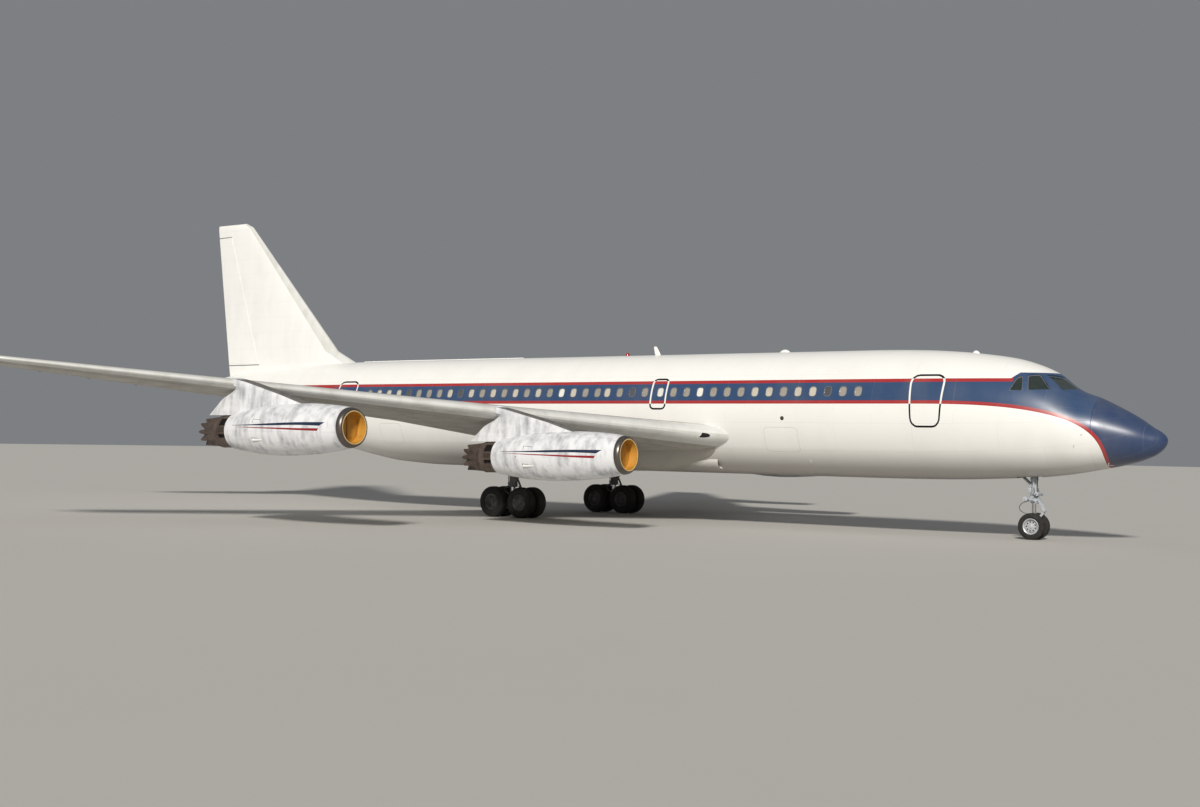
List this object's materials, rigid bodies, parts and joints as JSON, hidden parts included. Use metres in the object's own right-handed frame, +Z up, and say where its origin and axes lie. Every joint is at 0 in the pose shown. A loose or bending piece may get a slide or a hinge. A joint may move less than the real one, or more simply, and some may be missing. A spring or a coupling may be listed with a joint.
{
  "type": "narrow-body airliner",
  "caption": "Four-engined narrow-body jet airliner parked on its landing gear, with swept low wings, podded engines, hinged control surfaces, steerable nose wheels and bogie main gear.",
  "frame": {"origin": "centre of the bounding box in plan, on the ground under the tyres", "axes": "+X to the nose, +Y to port, +Z up"},
  "size_m": [39.42, 36.58, 11.07],
  "materials": {
    "white_paint": "gloss white enamel over aluminium skin",
    "navy_paint": "gloss navy enamel",
    "flight_deck_glass": "tinted laminated glass in a painted frame",
    "cover_yellow": "weathered yellow enamel",
    "exhaust_steel": "heat-stained steel",
    "gear_grey": "grey enamel, worn",
    "wheel_metal": "machined aluminium",
    "tyre_rubber": "matt black rubber"
  },
  "bodies": {
    "root": {"fuselage": "white_paint", "nose_radome": "navy_paint", "tail_cone": "white_paint", "flight_deck_glazing": "flight_deck_glass", "fin": "white_paint", "wing_port": "white_paint", "tailplane_port": "white_paint", "cowl_inboard_port": "white_paint", "inlet_cover_inboard_port": "cover_yellow", "engine_inboard_port": "exhaust_steel", "pylon_inboard_port": "white_paint", "cowl_outboard_port": "white_paint", "inlet_cover_outboard_port": "cover_yellow", "engine_outboard_port": "exhaust_steel", "pylon_outboard_port": "white_paint", "bogie_port": "gear_grey", "main_leg_port": "gear_grey", "wing_starboard": "white_paint", "tailplane_starboard": "white_paint", "cowl_inboard_starboard": "white_paint", "inlet_cover_inboard_starboard": "cover_yellow", "engine_inboard_starboard": "exhaust_steel", "pylon_inboard_starboard": "white_paint", "cowl_outboard_starboard": "white_paint", "inlet_cover_outboard_starboard": "cover_yellow", "engine_outboard_starboard": "exhaust_steel", "pylon_outboard_starboard": "white_paint", "bogie_starboard": "gear_grey", "main_leg_starboard": "gear_grey", "nose_leg": "gear_grey"},
    "rudder": {"rudder": "white_paint"},
    "flap_inboard_port": {"flap_inboard_port": "white_paint"},
    "flap_outboard_port": {"flap_outboard_port": "white_paint"},
    "aileron_port": {"aileron_port": "white_paint"},
    "elevator_port": {"elevator_port": "white_paint"},
    "wheels_port_fore": {"tyre_port_fore_port": "tyre_rubber", "tyre_port_fore_starboard": "tyre_rubber", "wheels_port_fore": "wheel_metal"},
    "wheels_port_aft": {"tyre_port_aft_port": "tyre_rubber", "tyre_port_aft_starboard": "tyre_rubber", "wheels_port_aft": "wheel_metal"},
    "flap_inboard_starboard": {"flap_inboard_starboard": "white_paint"},
    "flap_outboard_starboard": {"flap_outboard_starboard": "white_paint"},
    "aileron_starboard": {"aileron_starboard": "white_paint"},
    "elevator_starboard": {"elevator_starboard": "white_paint"},
    "wheels_starboard_fore": {"tyre_starboard_fore_port": "tyre_rubber", "tyre_starboard_fore_starboard": "tyre_rubber", "wheels_starboard_fore": "wheel_metal"},
    "wheels_starboard_aft": {"tyre_starboard_aft_port": "tyre_rubber", "tyre_starboard_aft_starboard": "tyre_rubber", "wheels_starboard_aft": "wheel_metal"},
    "nose_strut": {"nose_strut": "gear_grey"},
    "wheels_nose": {"tyre_nose_port": "tyre_rubber", "tyre_nose_starboard": "tyre_rubber", "wheels_nose": "wheel_metal"}
  },
  "joints": [
    {"name": "flap_inboard_port_hinge", "type": "hinge", "parent": "root", "child": "flap_inboard_port", "pos_m": [-0.36556, 2, 2.51872], "axis": [0.2116, -0.9676, -0.1377], "range_deg": [0, 50]},
    {"name": "flap_inboard_starboard_hinge", "type": "hinge", "parent": "root", "child": "flap_inboard_starboard", "pos_m": [-0.36556, -2, 2.51872], "axis": [-0.2116, -0.9676, 0.1377], "range_deg": [0, 50]},
    {"name": "flap_outboard_port_hinge", "type": "hinge", "parent": "root", "child": "flap_outboard_port", "pos_m": [-1.32246, 6.15, 3.10384], "axis": [0.4744, -0.8746, -0.1003], "range_deg": [0, 50]},
    {"name": "flap_outboard_starboard_hinge", "type": "hinge", "parent": "root", "child": "flap_outboard_starboard", "pos_m": [-1.32246, -6.15, 3.10384], "axis": [-0.4744, -0.8746, 0.1003], "range_deg": [0, 50]},
    {"name": "aileron_port_hinge", "type": "hinge", "parent": "root", "child": "aileron_port", "pos_m": [-4.20263, 11.45, 3.71172], "axis": [0.4704, -0.8767, -0.1006], "range_deg": [-20, 20]},
    {"name": "aileron_starboard_hinge", "type": "hinge", "parent": "root", "child": "aileron_starboard", "pos_m": [-4.20263, -11.45, 3.71172], "axis": [-0.4704, -0.8767, 0.1006], "range_deg": [-20, 20]},
    {"name": "elevator_port_hinge", "type": "hinge", "parent": "root", "child": "elevator_port", "pos_m": [-16.92537, 1.15, 4.31343], "axis": [0.4302, -0.8984, -0.0882], "range_deg": [-25, 15]},
    {"name": "elevator_starboard_hinge", "type": "hinge", "parent": "root", "child": "elevator_starboard", "pos_m": [-16.92537, -1.15, 4.31343], "axis": [-0.4302, -0.8984, 0.0882], "range_deg": [-25, 15]},
    {"name": "rudder_hinge", "type": "hinge", "parent": "root", "child": "rudder", "pos_m": [-15.34455, 0, 5.35], "axis": [-0.3374, 0, 0.9413], "range_deg": [-25, 25]},
    {"name": "nose_steering", "type": "hinge", "parent": "root", "child": "nose_strut", "pos_m": [16.14, 0, 1], "axis": [0, 0, 1], "range_deg": [-60, 60]},
    {"name": "nose_wheel_spin", "type": "hinge", "parent": "nose_strut", "child": "wheels_nose", "pos_m": [16.14, 0, 0.37], "axis": [0, 1, 0], "continuous": true},
    {"name": "main_wheel_spin_port_fore", "type": "hinge", "parent": "root", "child": "wheels_port_fore", "pos_m": [0.52, 2.875, 0.495], "axis": [0, 1, 0], "continuous": true},
    {"name": "main_wheel_spin_port_aft", "type": "hinge", "parent": "root", "child": "wheels_port_aft", "pos_m": [-0.62, 2.875, 0.495], "axis": [0, 1, 0], "continuous": true},
    {"name": "main_wheel_spin_starboard_fore", "type": "hinge", "parent": "root", "child": "wheels_starboard_fore", "pos_m": [0.52, -2.875, 0.495], "axis": [0, 1, 0], "continuous": true},
    {"name": "main_wheel_spin_starboard_aft", "type": "hinge", "parent": "root", "child": "wheels_starboard_aft", "pos_m": [-0.62, -2.875, 0.495], "axis": [0, 1, 0], "continuous": true}
  ],
  "couplings": [
    {"joint": "flap_inboard_starboard_hinge", "follows": "flap_inboard_port_hinge", "ratio": 1},
    {"joint": "flap_outboard_starboard_hinge", "follows": "flap_inboard_port_hinge", "ratio": 1},
    {"joint": "aileron_starboard_hinge", "follows": "aileron_port_hinge", "ratio": -1},
    {"joint": "elevator_starboard_hinge", "follows": "elevator_port_hinge", "ratio": 1},
    {"joint": "flap_outboard_port_hinge", "follows": "flap_inboard_port_hinge", "ratio": 1}
  ]
}
